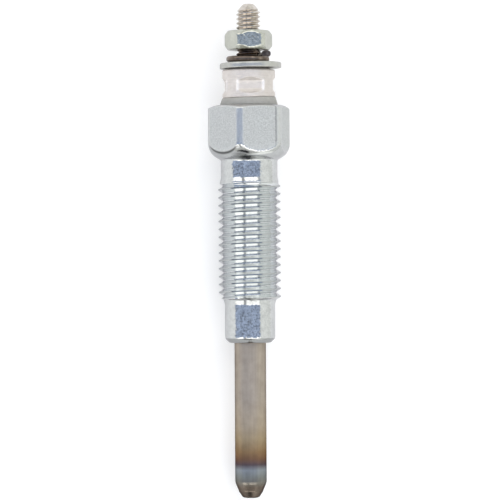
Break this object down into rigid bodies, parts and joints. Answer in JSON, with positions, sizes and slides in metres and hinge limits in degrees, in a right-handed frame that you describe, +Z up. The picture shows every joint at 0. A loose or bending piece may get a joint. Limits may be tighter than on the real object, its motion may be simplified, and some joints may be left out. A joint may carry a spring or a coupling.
{
  "type": "diesel glow plug",
  "caption": "Sheathed glow plug for a diesel engine: slim heater tube with a tapered tip, threaded housing with a hexagon, and a screw terminal with collar, washers and nut.",
  "frame": {"origin": "on the table, under the middle of the plug's length as it lies on one hexagon flat and on the lower end of its thread", "axes": "+Y along the plug towards the terminal, with the plug's own axis rising 2.57 degrees towards it; +Z up; a hexagon flat faces up"},
  "size_m": [0.0134, 0.0784, 0.0123],
  "materials": {
    "housing_zinc": "bright zinc plating with a fine grain",
    "sheath_alloy": "satin, tinted brown and blue by heat near the tip",
    "magnesia": "matt packed powder",
    "heating_wire": "dull oxidised wire",
    "control_wire": "satin wire",
    "electrode_steel": "bright, slightly warm plating",
    "seal_rubber": "matt",
    "ring_rubber": "matt",
    "bush_plastic": "matt warm grey",
    "collar_aluminium": "soft matt",
    "washer_zinc": "bright zinc plating",
    "spring_steel": "dark brown oxide",
    "nut_zinc": "bright zinc plating"
  },
  "bodies": {
    "root": {"housing": "housing_zinc", "heater_sheath": "sheath_alloy", "magnesia_filling": "magnesia", "heating_coil": "heating_wire", "control_coil": "control_wire", "centre_electrode": "electrode_steel", "sheath_seal": "seal_rubber", "o_ring": "ring_rubber", "insulating_bush": "bush_plastic", "crimp_collar": "collar_aluminium", "plain_washer": "washer_zinc", "spring_washer": "spring_steel", "terminal_nut": "nut_zinc"}
  },
  "joints": []
}
